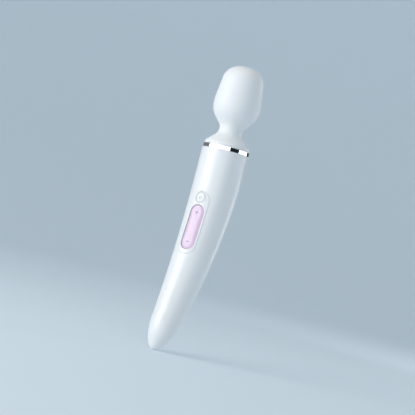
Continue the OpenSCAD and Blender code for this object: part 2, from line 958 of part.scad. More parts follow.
module capsule_cap() {
    color("whitesmoke")
        on_axis()
            difference() {
                union() {
                    rotate_extrude()
                        polygon(concat(above(capsule_outer, cap_z), reversed(above(capsule_inner, cap_z))));
                    screw_bosses(plate_z + plate_t, cap_z + 0.2, screw_seat_z, 20.8);
                }
                three_times(capsule_screw_r) {
                    cylinder(d = screw_d + 0.3, h = screw_seat_z + 1);
                    translate([0, 0, screw_seat_z])
                        cylinder(d = 5.2, h = far);
                }
            }
}

module capsule_seal() {
    color("dimgray")
        on_axis()
            translate([0, 0, split_z])
                rotate_extrude()
                    translate([radius_at(capsule_inner, split_z) + 0.2, 0])
                        square([capsule_wall - 0.6, cap_z - split_z]);
}

module capsule_screws() {
    color("silver")
        on_axis()
            three_times(capsule_screw_r) {
                translate([0, 0, screw_seat_z])
                    cylinder(d = 4.4, h = 1.6);
                translate([0, 0, boss_foot_z + 4])
                    cylinder(d = screw_d - 0.4, h = screw_seat_z - boss_foot_z - 4);
            }
}

// ---- Head: motor ----

motor_r = motor_d / 2;
shaft_r = shaft_d / 2;
can_z = floor_top_z + 4.5;
can_top_z = plate_z;
can_wall = 0.9;
bush_r = 3.2;
nose_r = 4.2;
nose_h = 2.5;

module motor_can() {
    color("silver")
        on_axis()
            rotate_extrude()
                polygon([[motor_r - can_wall, can_z], [motor_r, can_z], [motor_r, can_top_z],
                    [nose_r, can_top_z], [nose_r, can_top_z + nose_h], [bush_r, can_top_z + nose_h],
                    [bush_r, can_top_z - 1], [motor_r - can_wall, can_top_z - 1]]);
}

module motor_end_cap() {
    color("black")
        on_axis()
            rotate_extrude()
                polygon([[bush_r, can_z - 3], [motor_r, can_z - 3], [motor_r, can_z],
                    [motor_r - can_wall, can_z], [motor_r - can_wall, can_z + 1], [bush_r, can_z + 1]]);
}

module motor_bushes() {
    color("goldenrod")
        on_axis()
            for (z = [can_z - 2, can_top_z - 0.5])
                translate([0, 0, z])
                    difference() {
                        cylinder(r = bush_r, h = 2.5);
                        translate([0, 0, -1])
                            cylinder(r = shaft_r + 0.02, h = 5);
                    }
}

magnet_z = can_z + 6;
magnet_h = can_top_z - can_z - 9;
module motor_magnets() {
    color("dimgray")
        on_axis()
            translate([0, 0, magnet_z])
                difference() {
                    cylinder(r = motor_r - can_wall, h = magnet_h);
                    translate([0, 0, -1])
                        cylinder(r = motor_r - can_wall - 2, h = magnet_h + 2);
                    translate([-far / 2, -2, -1])
                        cube([far, 4, magnet_h + 2]);
                }
}

module motor_brushes() {
    color("sienna")
        on_axis()
            for (side = [-1, 1])
                translate([side > 0 ? 3.7 : -7.7, -1, can_z + 1.6])
                    cube([4, 2, 2.4]);
}

module armature() {
    slots = 3;
    core_r = motor_r - can_wall - 2.5;
    color("peru")
        on_axis()
            translate([0, 0, magnet_z + 0.5])
                difference() {
                    cylinder(r = core_r, h = magnet_h - 1);
                    translate([0, 0, -1])
                        cylinder(r = shaft_r, h = magnet_h + 2);
                    for (i = [0:slots - 1])
                        rotate([0, 0, 360 / slots * i])
                            translate([core_r - 3, -0.8, -1])
                                cube([4, 1.6, magnet_h + 2]);
                }
}

module commutator() {
    color("orange")
        on_axis()
            translate([0, 0, can_z + 1.3])
                difference() {
                    cylinder(r = 3.5, h = 3);
                    translate([0, 0, -1])
                        cylinder(r = shaft_r, h = 5);
                }
}

weight_z = plate_z + plate_t + 2.4;
weight_h = 11;
module motor_shaft() {
    color("silver")
        on_axis()
            translate([0, 0, can_z - 2])
                cylinder(r = shaft_r, h = weight_z + weight_h - can_z + 2.6);
}

// Steel weight that fills a bit more than half a turn round its hub
module eccentric_weight() {
    hub_r = 4;
    color("dimgray")
        on_axis()
            translate([0, 0, weight_z])
                difference() {
                    union() {
                        cylinder(r = hub_r, h = weight_h);
                        intersection() {
                            cylinder(r = weight_r, h = weight_h);
                            translate([-far / 2, -far, -1])
                                cube([far, far, weight_h + 2]);
                        }
                    }
                    translate([0, 0, -1])
                        cylinder(r = shaft_r, h = weight_h + 2);
                }
}

motor_screw_r = 8;
module motor_plate() {
    color("lightgray")
        on_axis()
            difference() {
                translate([0, 0, plate_z + gap])
                    cylinder(r = radius_at(capsule_inner, split_z) - 0.4, h = plate_t - 2 * gap);
                translate([0, 0, plate_z - 1])
                    cylinder(r = nose_r + 0.1, h = 6);
                three_times(capsule_screw_r)
                    translate([0, 0, plate_z - 1])
                        cylinder(d = screw_d + 0.3, h = 6);
                for (side = [-1, 1])
                    translate([side * motor_screw_r, 0, plate_z - 1])
                        cylinder(d = 2.2, h = 6);
            }
}

module motor_screws() {
    color("silver")
        on_axis()
            for (side = [-1, 1])
                translate([side * motor_screw_r, 0, plate_z + gap]) {
                    cylinder(d = 2, h = plate_t);
                    translate([0, 0, plate_t - gap])
                        cylinder(d = 3.8, h = 1.2);
                }
}

module motor_damper() {
    damper_h = 4.5;
    color("dimgray")
        on_axis()
            translate([0, 0, can_z + 1])
                difference() {
                    cylinder(r = radius_at(capsule_inner, can_z + 1) - 0.1, h = damper_h);
                    translate([0, 0, -1])
                        cylinder(r = motor_r + gap, h = damper_h + 2);
                }
}

front_shell();
rear_shell();
seam_seal();
trim_ring();
neck_socket();
collar_seal();
lower_neck_pin();
neck_spring();
neck_boot();
panel_bezel();
key_mat();
rocker_pin();
control_board();
board_parts();
contact_pads();
indicator_led();
board_screws();
battery_cradle();
cradle_screws();
battery_cell_upper();
battery_cell_lower();
battery_tabs();
battery_pads();
battery_leads();
charge_plate();
charge_pins();
charge_magnets();
charge_board();
charge_leads();
motor_leads();
neck_link();
upper_neck_pin();
head_cover();
capsule_base();
capsule_cap();
capsule_seal();
capsule_screws();
motor_can();
motor_end_cap();
motor_bushes();
motor_magnets();
motor_brushes();
motor_plate();
motor_screws();
motor_damper();
motor_shaft();
armature();
commutator();
eccentric_weight();
power_button();
power_contact();
intensity_rocker();
rocker_contacts();
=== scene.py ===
import json
import math

import bmesh
import bpy
from mathutils import Matrix, Vector
from mathutils.geometry import delaunay_2d_cdt


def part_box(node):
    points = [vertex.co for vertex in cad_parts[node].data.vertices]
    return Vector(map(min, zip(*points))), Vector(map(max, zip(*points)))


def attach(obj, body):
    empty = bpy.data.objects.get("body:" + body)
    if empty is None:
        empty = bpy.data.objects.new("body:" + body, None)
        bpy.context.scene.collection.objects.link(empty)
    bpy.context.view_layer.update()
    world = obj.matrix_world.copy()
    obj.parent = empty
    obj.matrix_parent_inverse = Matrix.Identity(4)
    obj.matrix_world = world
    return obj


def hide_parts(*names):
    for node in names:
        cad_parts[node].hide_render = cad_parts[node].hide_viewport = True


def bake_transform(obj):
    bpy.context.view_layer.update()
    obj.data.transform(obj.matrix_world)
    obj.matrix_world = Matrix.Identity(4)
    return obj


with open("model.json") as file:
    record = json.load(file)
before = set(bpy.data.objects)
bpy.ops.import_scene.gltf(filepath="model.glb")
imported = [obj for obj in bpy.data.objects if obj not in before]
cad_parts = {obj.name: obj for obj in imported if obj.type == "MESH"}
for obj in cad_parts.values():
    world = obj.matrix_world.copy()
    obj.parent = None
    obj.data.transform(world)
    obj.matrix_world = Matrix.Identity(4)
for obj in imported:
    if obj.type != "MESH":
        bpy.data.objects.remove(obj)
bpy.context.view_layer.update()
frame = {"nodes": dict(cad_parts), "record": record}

# A handheld cordless wand massager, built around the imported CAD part. All lengths are in metres.
# The handle bends forward (-Y) round a centre in front of it. Distance s runs down its centreline
# from the start of the bend, and angle phi runs round it from the front.

MM = 0.001
SAME = 1e-6

# ---- Sizes of the CAD part that its boxes don't give ----

HANDLE_R = 27.35 * MM
TIP_R = 13.7 * MM
BEND_R = 550 * MM
BEND_LEN = 235.5 * MM
COLLAR = 7.1 * MM
TIP_LEN = 34 * MM
TAPER_POWER = 1.8
SHELL_WALL = 2.4 * MM
RING_WALL = 2.45 * MM
SKIN = 2.6 * MM
LINING_GAP = 0.5 * MM
HEAD_R = 27.3 * MM
NECK_R = 13.6 * MM

RING_LOW, RING_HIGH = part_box("trim_ring")
AXIS_Y = (RING_LOW.y + RING_HIGH.y) / 2
RING_Z = RING_LOW.z
SKIN_Z = RING_HIGH.z
BEND_Z = RING_Z - COLLAR
DOME_START = BEND_LEN - TIP_LEN
NECK_MID_Z = SKIN_Z + 20.2 * MM

# Control panel: its frame stands at distance PANEL_S, and v runs up it
PANEL_S = 84.4 * MM
BEZEL = (74 * MM, 22.4 * MM)
BEZEL_RISE = 0.25 * MM
ROCKER = (52 * MM, 17.3 * MM)
ROCKER_SINK = 0.35 * MM
ROCKER_DEPTH = 3 * MM
ROCKER_V = -5.5 * MM
ROCKER_GAP = 0.2 * MM
FINGER_V = 17.2 * MM
SIGN_LEN = 4.2 * MM
SIGN_STROKE = 0.9 * MM
BUTTON_D = 12.8 * MM
BUTTON_V = 29 * MM
BUTTON_GAP = 0.2 * MM
BUTTON_RISE = 0.45 * MM

# Charging contacts: a flat face near the end of the rear shell
PORT_S = 188 * MM
PORT_TILT = math.radians(5.2)
PORT = (24 * MM, 12 * MM)
PORT_CORNER = 2.5 * MM
PORT_INSET = 1.3 * MM
PORT_SEAT = 1.8 * MM
PIN_V = 6 * MM
PIN_D = 3 * MM

# The photograph's camera: the whole frame is this wide at the object
CAMERA_AZIMUTH = 30.0
CAMERA_ELEVATION = -1.5
CAMERA_ROLL = 14.28
CAMERA_LENS = 100.0
SENSOR = 36.0
VIEW_WIDTH = 477.7 * MM
AIM_HEIGHT = 169.1 * MM
AIM_SIDE = -4.2 * MM
STUDIO_AIM_Z = 170 * MM


# ---- Mesh helpers ----

def new_mesh(name, verts, faces):
    mesh = bpy.data.meshes.new(name)
    mesh.from_pydata([tuple(v) for v in verts], [], faces)
    return mesh


def new_object(name, data):
    made = bpy.data.objects.new(name, data)
    bpy.context.scene.collection.objects.link(made)
    return made


def add_piece(name, verts, faces, slot, replaces=()):
    """A closed mesh in the row frame, smooth, with its faces turned outwards."""
    mesh = new_mesh(name, verts, faces)
    work = bmesh.new()
    work.from_mesh(mesh)
    bmesh.ops.recalc_face_normals(work, faces=work.faces)
    work.to_mesh(mesh)
    work.free()
    mesh.shade_smooth()
    piece = new_object(name, mesh)
    mesh.materials.append(MATERIALS[slot])
    if replaces:
        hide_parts(*replaces)
    return piece


def even_normals(piece):
    """Keeps wide faces flat-looking next to narrow rounded edges."""
    modifier = piece.modifiers.new("even_normals", "WEIGHTED_NORMAL")
    modifier.weight = 80
    modifier.keep_sharp = True


def soften_edges(piece, width):
    """Rounds the edges that turn sharply."""
    modifier = piece.modifiers.new("soft_edges", "BEVEL")
    modifier.width = width
    modifier.segments = 2
    modifier.limit_method = "ANGLE"
    modifier.angle_limit = math.radians(60)
    even_normals(piece)


def strip(a, b):
    """Quads between two closed rows of vertex numbers of equal length."""
    n = len(a)
    return [(a[i], a[(i + 1) % n], b[(i + 1) % n], b[i]) for i in range(n)]


def inside(point, loop):
    """Whether a flat point lies in a loop, by counting the edges to its right."""
    hits = 0
    for (x0, y0), (x1, y1) in zip(loop, loop[1:] + loop[:1]):
        if (y0 > point[1]) != (y1 > point[1]):
            hits += point[0] < x0 + (point[1] - y0) / (y1 - y0) * (x1 - x0)
    return hits % 2 == 1


def between(point, loops):
    """Whether a flat point lies in the first loop and in none of the others, its holes."""
    return inside(point, loops[0]) and not any(inside(point, hole) for hole in loops[1:])


def distance_to(point, loop):
    """From a flat point to the nearest point of a loop."""
    return min(math.dist(point, other) for other in loop)


def extent(points):
    """The lowest and the highest corner of flat points."""
    return [[pick(p[k] for p in points) for k in (0, 1)] for pick in (min, max)]


def fill(loops, free):
    """Triangles between an outer loop and its holes, over the free points too. Numbers count
    through the loops first and then the free points."""
    points = [p for loop in loops for p in loop] + list(free)
    edges = []
    start = 0
    for loop in loops:
        n = len(loop)
        edges += [(start + i, start + (i + 1) % n) for i in range(n)]
        start += n
    result = delaunay_2d_cdt([Vector(p) for p in points], edges, [], 0, 1e-9)
    verts, triangles, sources = result[0], result[2], result[3]
    faces = []
    for triangle in triangles:
        middle = [sum(verts[i][k] for i in triangle) / 3 for k in (0, 1)]
        if between(middle, loops):
            faces.append(tuple(sources[i][0] for i in triangle))
    return faces


def lathe(profile, closed=True, steps=96, place=None):
    """Revolves (radius, height) points round the place's Z axis. A closed profile is a hoop's."""
    verts = []
    rows = []
    for radius, height in profile:
        if radius < 1e-7:
            rows.append([len(verts)] * steps)
            verts.append(Vector((0, 0, height)))
        else:
            rows.append(list(range(len(verts), len(verts) + steps)))
            for k in range(steps):
                turn = 2 * math.pi * k / steps
                verts.append(Vector((radius * math.cos(turn), radius * math.sin(turn), height)))
    pairs = list(zip(rows, rows[1:]))
    if closed:
        pairs.append((rows[-1], rows[0]))
    faces = []
    for a, b in pairs:
        for quad in strip(a, b):
            corners = list(dict.fromkeys(quad))
            if len(corners) > 2:
                faces.append(tuple(corners))
    place = place or Matrix.Translation((0, AXIS_Y, 0))
    return [place @ v for v in verts], faces


def tube(path, radius, sides=12):
    """A round wire along a path of points, with flat ends."""
    verts = []
    rows = []
    side = None
    for i, point in enumerate(path):
        along = (path[min(i + 1, len(path) - 1)] - path[max(i - 1, 0)]).normalized()
        side = along.orthogonal() if side is None else side - along * side.dot(along)
        side.normalize()
        up = along.cross(side)
        rows.append(list(range(len(verts), len(verts) + sides)))
        for k in range(sides):
            turn = 2 * math.pi * k / sides
            verts.append(point + radius * (side * math.cos(turn) + up * math.sin(turn)))
    faces = [quad for a, b in zip(rows, rows[1:]) for quad in strip(a, b)]
    return verts, faces + [tuple(reversed(rows[0])), tuple(rows[-1])]


def merged(parts):
    """Joins (verts, faces) pairs into one."""
    verts = []
    faces = []
    for part_verts, part_faces in parts:
        faces += [tuple(i + len(verts) for i in face) for face in part_faces]
        verts += part_verts
    return verts, faces


# ---- The handle's surface ----

def taper_r(s):
    """The handle's radius at distance s."""
    return HANDLE_R - (HANDLE_R - TIP_R) * (max(s, 0.0) / BEND_LEN) ** TAPER_POWER


def handle_point(s, radius, phi):
    """The point at a radius and an angle round the centreline at distance s."""
    bend = max(s, 0.0) / BEND_R
    forward = radius * math.cos(phi)
    return Vector((
        radius * math.sin(phi),
        AXIS_Y - BEND_R * (1 - math.cos(bend)) - forward * math.cos(bend),
        BEND_Z - BEND_R * math.sin(bend) + max(-s, 0.0) + forward * math.sin(bend)))


def on_handle(point):
    """Distance s, height above the surface and angle phi of a point beside the bent part."""
    y = point.y - (AXIS_Y - BEND_R)
    z = BEND_Z - point.z
    s = BEND_R * math.atan2(z, y)
    forward = BEND_R - math.hypot(y, z)
    return s, math.hypot(point.x, forward) - taper_r(s), math.atan2(point.x, forward)


def arc_frame(s, outward, tilt=0.0):
    """Origin on the centreline at s, with X across, V up and F out to the front or the rear."""
    bend = s / BEND_R
    turn = Matrix.Rotation(-bend - tilt, 3, "X")
    return (handle_point(s, 0, 0), Vector((1, 0, 0)), turn @ Vector((0, 0, 1)),
            turn @ Vector((0, outward, 0)))


PANEL_FRAME = arc_frame(PANEL_S, -1)
PORT_FRAME = arc_frame(PORT_S, 1, PORT_TILT)
PORT_FACE = taper_r(PORT_S) - PORT_INSET


def dropped(place, x, v, height):
    """The point of a frame at (x, v) that is at this height above the handle's surface."""
    origin, across, up, out = place
    depth = taper_r(on_handle(origin)[0])
    for _ in range(8):
        point = origin + across * x + up * v + out * depth
        rise = on_handle(point)[1]
        radius = taper_r(on_handle(point)[0]) + rise
        lean = max(math.sqrt(max(radius * radius - x * x, 0)) / radius, 0.2)
        depth += (height - rise) / lean
    return origin + across * x + up * v + out * depth


def on_panel(x, v, height):
    """The point at (x, v) on the panel, at this height above the handle's surface."""
    return dropped(PANEL_FRAME, x, v, height)


def on_port(x, v, height):
    """The point at (x, v) on the flat charging face, at this height above it."""
    origin, across, up, out = PORT_FRAME
    return origin + across * x + up * v + out * (PORT_FACE + height)


# ---- Outlines on the panel: each gives its loop of (x, v) points, moved inwards by an inset ----

def rounded_box(length, width, corner, v=0.0, arc=12, spacing=2.5 * MM):
    """A box with rounded corners, long way up. A corner of half the width makes it a stadium."""
    def loop(inset):
        points = []
        radius = corner - inset
        half_x = width / 2 - corner
        half_v = length / 2 - corner
        for k, (sx, sv) in enumerate(((1, 1), (-1, 1), (-1, -1), (1, -1))):
            for i in range(arc + 1):
                turn = math.pi / 2 * (k + i / arc)
                points.append((sx * half_x + radius * math.cos(turn),
                               v + sv * half_v + radius * math.sin(turn)))
            across, along = ((-2 * half_x, 0), (0, -2 * half_v), (2 * half_x, 0), (0, 2 * half_v))[k]
            n = int(abs(across + along) / spacing)
            x, y = points[-1]
            points += [(x + across * i / n, y + along * i / n) for i in range(1, n)]
        return dedupe(points)
    return loop


def dedupe(points):
    """The points without any that repeats the one before it."""
    kept = []
    for p in points:
        if not kept or math.dist(p, kept[-1]) > SAME:
            kept.append(p)
    if math.dist(kept[0], kept[-1]) < SAME:
        kept.pop()
    return kept


def stadium(size, v=0.0, grow=0.0):
    """A box of this (length, width) with round ends, grown by this much all round."""
    return rounded_box(size[0] + 2 * grow, size[1] + 2 * grow, size[1] / 2 + grow, v, arc=20)


def circle(diameter, v=0.0, arc=16):
    return rounded_box(diameter, diameter, diameter / 2, v, arc)


def plus(half_len, half_w, v):
    """A plus sign with arms of this length and half width."""
    def loop(inset):
        a = half_len - inset
        b = half_w - inset
        quarter = [(b, a), (b, b), (a, b)]
        corners = []
        for _ in range(4):
            corners += quarter
            quarter = [(y, -x) for x, y in quarter]
        return [(x, v + y) for x, y in reversed(corners)]
    return loop


def open_ring(radius, width, v, opening):
    """A ring with a gap at its top."""
    steps = 40
    def loop(inset):
        half = width / 2 - inset
        start = math.pi / 2 + opening + inset / radius
        sweep = 2 * math.pi - 2 * (opening + inset / radius)
        turns = [start + sweep * i / steps for i in range(steps + 1)]
        outer, inner = [[(r * math.cos(t), v + r * math.sin(t)) for t in turns]
                        for r in (radius + half, radius - half)]
        return outer + inner[::-1]
    return loop


def round_over(radius, top, steps=4):
    """(inset, height) steps of a rounded edge, from the top face down to the side."""
    turns = [math.pi / 2 * i / steps for i in range(steps + 1)]
    return [(radius * (1 - math.sin(t)), top - radius * (1 - math.cos(t))) for t in turns]


def free_points(loops, spacing):
    """A grid of points between an outer loop and its holes, clear of them all."""
    low, high = extent(loops[0])
    counts = [int((high[k] - low[k]) / spacing) for k in (0, 1)]
    free = []
    for i in range(1, counts[0]):
        for j in range(1, counts[1]):
            p = tuple(low[k] + (high[k] - low[k]) * step / counts[k] for k, step in ((0, i), (1, j)))
            clear = min(distance_to(p, loop) for loop in loops) > 0.6 * spacing
            if clear and between(p, loops):
                free.append(p)
    return free


def panel_solid(at, outlines, shape=lambda x, v: 0.0, spacing=1.5 * MM):
    """A closed solid between outlines. The first (outline, profile) is its outside, the others are
    holes, and each profile runs from the top face to the bottom face. Shape bends the top face
    and the upper half of the sides."""
    verts = []
    tops = []
    faces = []
    ends = []
    for number, (outline, profile) in enumerate(outlines):
        sign = -1 if number else 1
        rows = []
        for inset, height in profile:
            loop = outline(sign * inset)
            bend = 1.0 if height > profile[-1][1] / 2 else 0.0
            rows.append(list(range(len(verts), len(verts) + len(loop))))
            verts += [at(x, v, height + bend * shape(x, v)) for x, v in loop]
            if len(rows) == 1:
                tops.append(loop)
        faces += [quad for a, b in zip(rows, rows[1:]) for quad in strip(a, b)]
        ends.append((rows[0], rows[-1]))
    free = free_points(tops, spacing)
    profile = outlines[0][1]
    triangles = fill(tops, free)
    for end, height, bend in ((0, profile[0][1], 1.0), (1, profile[-1][1], 0.0)):
        numbers = [i for loop in ends for i in loop[end]]
        numbers += list(range(len(verts), len(verts) + len(free)))
        verts += [at(x, v, height + bend * shape(x, v)) for x, v in free]
        faces += [tuple(numbers[i] for i in triangle) for triangle in triangles]
    return verts, faces


# ---- Materials ----

def tinted(color, change):
    """A colour made lighter or darker by a share of itself."""
    return tuple(min(max(c * (1 + change), 0.0), 1.0) for c in color) + (1.0,)


class Finish:
    """A Principled material whose colour, gloss and surface come from noise in the row frame."""

    def __init__(self, name, color, roughness, **sockets):
        self.name = name
        self.material = bpy.data.materials.new("finish_" + name)
        self.material.use_nodes = True
        self.nodes = self.material.node_tree.nodes
        self.links = self.material.node_tree.links
        self.shader = self.nodes["Principled BSDF"]
        self.color = color
        self.normal = None
        self.shader.inputs["Base Color"].default_value = (*color, 1.0)
        self.shader.inputs["Roughness"].default_value = roughness
        for socket, value in sockets.items():
            self.shader.inputs[socket.replace("_", " ")].default_value = value
        self.material.diffuse_color = (*color, 1.0)

    def node(self, kind, **values):
        """A new node. Each value sets the input of that name, or else the node's own setting."""
        made = self.nodes.new("ShaderNode" + kind)
        for key, value in values.items():
            name = key.replace("_", " ")
            if name in made.inputs:
                made.inputs[name].default_value = value
            else:
                setattr(made, key, value)
        return made

    def in_place(self, texture):
        """Gives a texture node the row frame's coordinates."""
        place = self.node("TexCoord")
        self.links.new(place.outputs["Object"], texture.inputs["Vector"])

    def noise(self, size, stretch=(1, 1, 1), detail=3.0):
        """Noise whose blotches are about this many metres across, longer where stretch is over 1."""
        mapping = self.node("Mapping", Scale=tuple(1 / (size * s) for s in stretch))
        noise = self.node("TexNoise", Scale=1.0, Detail=detail, Roughness=0.5)
        self.in_place(mapping)
        self.links.new(mapping.outputs["Vector"], noise.inputs["Vector"])
        return noise.outputs["Fac"]

    def bands(self, pitch, distortion=0.0):
        """Level bands this far apart. A wave texture of scale 1 repeats 20 times in 2 pi metres."""
        wave = self.node("TexWave", Scale=2 * math.pi / (20 * pitch), Distortion=distortion)
        wave.bands_direction = "Z"
        self.in_place(wave)
        return wave.outputs["Fac"]

    def cells(self, size):
        """Distance to the edges of cells about this many metres across."""
        cells = self.node("TexVoronoi", Scale=1 / size)
        cells.feature = "DISTANCE_TO_EDGE"
        self.in_place(cells)
        return cells.outputs["Distance"]

    def stepped(self, source, low, high, first=0.0, last=1.0):
        """The first value below low and the last above high, with a straight run between."""
        ramp = self.node("MapRange")
        for name, value in (("From Min", low), ("From Max", high), ("To Min", first), ("To Max", last)):
            ramp.inputs[name].default_value = value
        self.links.new(source, ramp.inputs["Value"])
        return ramp.outputs["Result"]

    def tint(self, source, dark, light):
        """Colour between two tones of the base colour, or two colours. A Mix node's colours are
        its inputs 6 and 7 and its output 2."""
        mix = self.node("Mix", data_type="RGBA")
        ends = [tinted(self.color, end) if isinstance(end, float) else (*end, 1.0)
                for end in (dark, light)]
        mix.inputs[6].default_value, mix.inputs[7].default_value = ends
        self.links.new(source, mix.inputs["Factor"])
        self.links.new(mix.outputs[2], self.shader.inputs["Base Color"])
        return self

    def gloss(self, source, low, high):
        """Roughness between two values over the middle of the noise's range."""
        self.links.new(self.stepped(source, 0.3, 0.7, low, high), self.shader.inputs["Roughness"])
        return self

    def bump(self, source, height):
        """Raises the surface by up to this many metres, on top of any earlier bump."""
        bump = self.node("Bump", Strength=1.0, Distance=height)
        self.links.new(source, bump.inputs["Height"])
        if self.normal is not None:
            self.links.new(self.normal, bump.inputs["Normal"])
        self.normal = bump.outputs["Normal"]
        self.links.new(self.normal, self.shader.inputs["Normal"])
        return self


def shell_finish():
    """Satin-gloss white moulding: fine spark texture, slow drift in gloss, a faint clear top."""
    f = Finish("shell", (0.905, 0.905, 0.905), 0.3, Coat_Weight=0.25, Coat_Roughness=0.12)
    drift = f.noise(0.018, detail=4)
    f.tint(drift, -0.006, 0.004).gloss(f.noise(0.003), 0.28, 0.32)
    return f.bump(f.noise(0.0004, detail=2), 0.000002)


def silicone_finish():
    """Matte silicone: fine velvety grain, a little light inside, a soft sheen at the edges."""
    f = Finish("silicone", (0.91, 0.91, 0.91), 0.5, Subsurface_Weight=0.12, Subsurface_Scale=0.0012,
               Sheen_Weight=0.12, Sheen_Roughness=0.45)
    drift = f.noise(0.009, detail=5)
    f.tint(drift, -0.015, 0.008).gloss(drift, 0.46, 0.56)
    f.bump(f.noise(0.00025, detail=2), 0.000006)
    return f.bump(f.noise(0.004, detail=3), 0.00001)


def chrome_finish():
    """Polished plating with hairline polishing marks that run round the ring."""
    f = Finish("chrome_trim", (0.86, 0.865, 0.875), 0.04, Metallic=1.0)
    marks = f.noise(0.0006, (60, 60, 1), detail=4)
    f.tint(f.noise(0.01), -0.02, 0.02).gloss(marks, 0.03, 0.075)
    return f.bump(marks, 0.0000006)


def rocker_finish():
    """Pearly lilac key: a slow sheen of lighter and pinker tone, fine grain, glossy top."""
    f = Finish("rocker", (0.82, 0.62, 0.79), 0.3, Coat_Weight=0.35, Coat_Roughness=0.15,
               Subsurface_Weight=0.08, Subsurface_Scale=0.001)
    drift = f.noise(0.007, (1, 1, 3), detail=4)
    f.tint(drift, (0.78, 0.58, 0.77), (0.86, 0.66, 0.81)).gloss(drift, 0.25, 0.35)
    return f.bump(f.noise(0.0003, detail=2), 0.000003)


def mark_finish(name, color):
    """Pad-printed ink, a little uneven."""
    f = Finish(name, color, 0.45)
    drift = f.noise(0.0005, detail=3)
    f.tint(drift, -0.06, 0.06).gloss(drift, 0.4, 0.5)
    return f.bump(drift, 0.000004)


def moulded_finish(slot, color, roughness, grain=0.0006, height=0.00001):
    """Plain moulded plastic or rubber, with an even grain and flow marks."""
    f = Finish(slot, color, roughness)
    f.tint(f.noise(0.006, detail=4), -0.05, 0.04)
    f.gloss(f.noise(0.002), roughness - 0.06, roughness + 0.08)
    return f.bump(f.noise(grain, detail=2), height)


def metal_finish(slot, color, roughness, stretch=(1, 1, 1), size=0.0004, stain=-0.1):
    """Bare metal, with tool marks along the stretch and a slight tarnish."""
    f = Finish(slot, color, roughness, Metallic=1.0)
    marks = f.noise(size, stretch, detail=4)
    f.tint(f.noise(0.004, detail=5), stain, 0.03).gloss(marks, roughness * 0.7, roughness * 1.5)
    return f.bump(marks, 0.000002)


def board_finish():
    """Green solder mask with raised tracks and paler lands."""
    f = Finish("circuit_board", (0.02, 0.17, 0.07), 0.35, Coat_Weight=0.3)
    tracks = f.stepped(f.cells(0.0025), 0.05, 0.09)
    f.tint(tracks, (0.05, 0.26, 0.12), (0.015, 0.13, 0.055))
    f.gloss(f.noise(0.002), 0.3, 0.42)
    return f.bump(tracks, 0.00002)


def chip_finish():
    """Black resin of chips and connectors."""
    f = Finish("chips", (0.025, 0.025, 0.028), 0.5)
    f.tint(f.noise(0.002, detail=4), -0.3, 0.4).gloss(f.noise(0.001), 0.4, 0.6)
    return f.bump(f.noise(0.0002, detail=2), 0.000008)


def sleeve_finish():
    """Shrunk film on a battery cell: glossy, with a slow ripple."""
    f = Finish("cell_sleeve", (0.10, 0.27, 0.45), 0.25, Coat_Weight=0.4)
    ripple = f.noise(0.008, (1, 1, 3), detail=3)
    f.tint(ripple, -0.12, 0.08).gloss(ripple, 0.2, 0.32)
    return f.bump(ripple, 0.00003)


def core_finish():
    """Stacked steel plates of the armature."""
    f = Finish("core", (0.30, 0.28, 0.27), 0.4, Metallic=1.0)
    plates = f.bands(0.0005)
    f.tint(plates, -0.35, 0.2).gloss(f.noise(0.002), 0.32, 0.5)
    return f.bump(plates, 0.00003)


def copper_finish():
    """Enamelled copper wire, wound close."""
    f = Finish("copper", (0.72, 0.36, 0.20), 0.28, Metallic=1.0)
    wires = f.bands(0.0006, distortion=0.4)
    f.tint(wires, -0.25, 0.1).gloss(f.noise(0.002), 0.22, 0.38)
    return f.bump(wires, 0.00003)


def led_finish():
    """Clear resin over a small pale chip."""
    f = Finish("led", (0.80, 0.88, 0.95), 0.12, Transmission_Weight=0.4, IOR=1.5)
    f.tint(f.noise(0.0004), -0.08, 0.04).gloss(f.noise(0.0006), 0.08, 0.18)
    return f.bump(f.noise(0.0006), 0.000004)


def all_finishes():
    """One finish for each of the record's material slots, and two inks."""
    around = (40, 40, 1)
    along = (1, 1, 30)
    finishes = [
        shell_finish(), silicone_finish(), chrome_finish(), rocker_finish(),
        board_finish(), chip_finish(), sleeve_finish(), core_finish(), copper_finish(), led_finish(),
        mark_finish("grey_ink", (0.32, 0.33, 0.35)), mark_finish("lilac_ink", (0.42, 0.28, 0.45)),
        moulded_finish("inner_plastic", (0.62, 0.64, 0.66), 0.45),
        moulded_finish("brush_cover", (0.03, 0.03, 0.035), 0.45),
        moulded_finish("seal_rubber", (0.045, 0.048, 0.052), 0.7, 0.0003, 0.00002),
        moulded_finish("key_rubber", (0.55, 0.56, 0.58), 0.6, 0.0004, 0.00001),
        moulded_finish("carbon", (0.02, 0.02, 0.022), 0.75, 0.0002, 0.00003),
        moulded_finish("wire", (0.55, 0.03, 0.03), 0.4, 0.001, 0.000008),
        moulded_finish("magnet", (0.10, 0.10, 0.105), 0.6, 0.0003, 0.00002),
        metal_finish("pin_steel", (0.70, 0.71, 0.73), 0.18, around),
        metal_finish("spring_steel", (0.52, 0.53, 0.55), 0.28, along),
        metal_finish("screw_steel", (0.60, 0.61, 0.63), 0.26, around),
        metal_finish("contact_gold", (0.86, 0.64, 0.30), 0.2, size=0.0003),
        metal_finish("nickel", (0.66, 0.63, 0.58), 0.3, along),
        metal_finish("can_steel", (0.64, 0.65, 0.67), 0.3, around),
        metal_finish("bush_bronze", (0.62, 0.43, 0.22), 0.42, size=0.0002, stain=-0.2),
        metal_finish("weight_steel", (0.42, 0.42, 0.44), 0.38, around, stain=-0.2),
    ]
    return {f.name: f.material for f in finishes}


MATERIALS = all_finishes()


def dress_cad_nodes():
    """Every CAD node gets the finish of its slot in the record."""
    for row in frame["record"]["subparts"]:
        node = frame["nodes"][row["node"]]
        node.data.materials.clear()
        node.data.materials.append(MATERIALS[row["material_slot"]])


# ---- Handle casings: a grid of points round each half, laid out flat at one radius ----

FLAT_R = 0.9 * HANDLE_R


